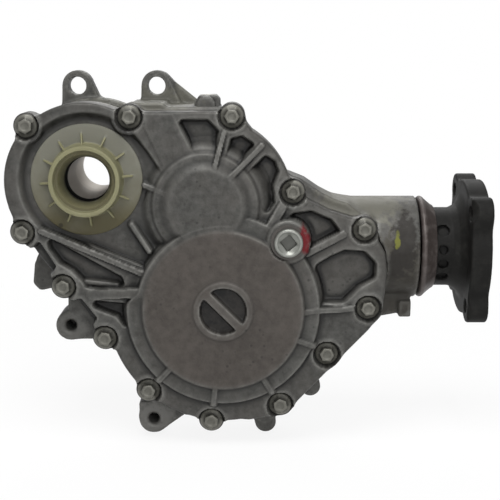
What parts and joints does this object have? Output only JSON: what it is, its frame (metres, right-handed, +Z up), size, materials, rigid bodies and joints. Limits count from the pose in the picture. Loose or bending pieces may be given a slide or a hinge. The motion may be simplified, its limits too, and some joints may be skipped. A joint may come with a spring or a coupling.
{
  "type": "transfer case",
  "caption": "Right-angle transfer case: ribbed cast cover on a cast housing, hollow input shaft, idler and crown gears inside, and an offset pinion driving a lobed companion flange.",
  "frame": {"origin": "on the hollow input shaft's axis, in the plane of the transaxle mounting face", "axes": "+X rearwards to the companion flange, +Y out of the mounting face into the transaxle, +Z up; the front cover faces -Y"},
  "size_m": [0.3665, 0.1217, 0.2825],
  "materials": {
    "cast_aluminium": "cast, satin",
    "cover_cast_aluminium": "cast, satin",
    "gasket_black": "matt",
    "bolt_zinc": "zinc plated, satin",
    "plug_zinc": "bright zinc plated",
    "washer_aluminium": "soft washer, satin",
    "protector_plastic": "moulded, slightly translucent",
    "seal_rubber": "matt",
    "vent_steel": "zinc plated",
    "machined_steel": "ground",
    "gear_steel": "case hardened, ground flanks",
    "bearing_steel": "polished",
    "flange_iron": "black coated",
    "deflector_steel": "pressed, dull",
    "bronze": "plain bearing bronze"
  },
  "bodies": {
    "case": {"front_cover": "cover_cast_aluminium", "main_case": "cast_aluminium", "cover_gasket": "gasket_black", "cover_bolts": "bolt_zinc", "dowel_pins": "machined_steel", "fill_plug": "plug_zinc", "fill_plug_washer": "washer_aluminium", "vent_plug": "vent_steel", "front_input_seal": "seal_rubber", "rear_input_seal": "seal_rubber", "output_seal": "seal_rubber", "spigot_o_ring": "seal_rubber", "idler_pin": "machined_steel", "idler_thrust_washers": "bronze", "input_bearing_cups": "bearing_steel", "transfer_bearing_cups": "bearing_steel", "pinion_bearing_cups": "bearing_steel"},
    "input": {"input_shaft": "machined_steel", "input_gear": "gear_steel", "input_bearing_cones": "bearing_steel", "input_bearing_rollers": "bearing_steel"},
    "idler": {"idler_gear": "gear_steel", "idler_needles": "bearing_steel"},
    "transfer": {"transfer_shaft": "machined_steel", "driven_gear": "gear_steel", "crown_gear": "gear_steel", "crown_gear_bolts": "machined_steel", "transfer_bearing_cones": "bearing_steel", "transfer_bearing_rollers": "bearing_steel"},
    "output": {"pinion_shaft": "machined_steel", "companion_flange": "flange_iron", "dust_deflector": "deflector_steel", "pinion_nut": "machined_steel", "pinion_washer": "machined_steel", "crush_sleeve": "machined_steel", "pinion_bearing_cones": "bearing_steel", "pinion_bearing_rollers": "bearing_steel"},
    "protector": {"seal_protector": "protector_plastic"}
  },
  "joints": [
    {"name": "ring_spin", "type": "hinge", "parent": "case", "child": "transfer", "pos_m": [0.10225, 0, -0.09846], "axis": [0, 1, 0], "continuous": true},
    {"name": "input_spin", "type": "hinge", "parent": "case", "child": "input", "pos_m": [0, 0, 0], "axis": [0, 1, 0], "continuous": true},
    {"name": "idler_spin", "type": "hinge", "parent": "case", "child": "idler", "pos_m": [0.08913, 0, -0.01955], "axis": [0, 1, 0], "continuous": true},
    {"name": "output_spin", "type": "hinge", "parent": "case", "child": "output", "pos_m": [0, -0.031, -0.058], "axis": [1, 0, 0], "continuous": true},
    {"name": "protector_slide", "type": "slide", "parent": "case", "child": "protector", "axis": [0, -1, 0], "range_m": [0, 0.06]}
  ],
  "couplings": [
    {"joint": "input_spin", "follows": "ring_spin", "ratio": 0.75},
    {"joint": "idler_spin", "follows": "ring_spin", "ratio": -0.72973},
    {"joint": "output_spin", "follows": "ring_spin", "ratio": 2.3571}
  ]
}
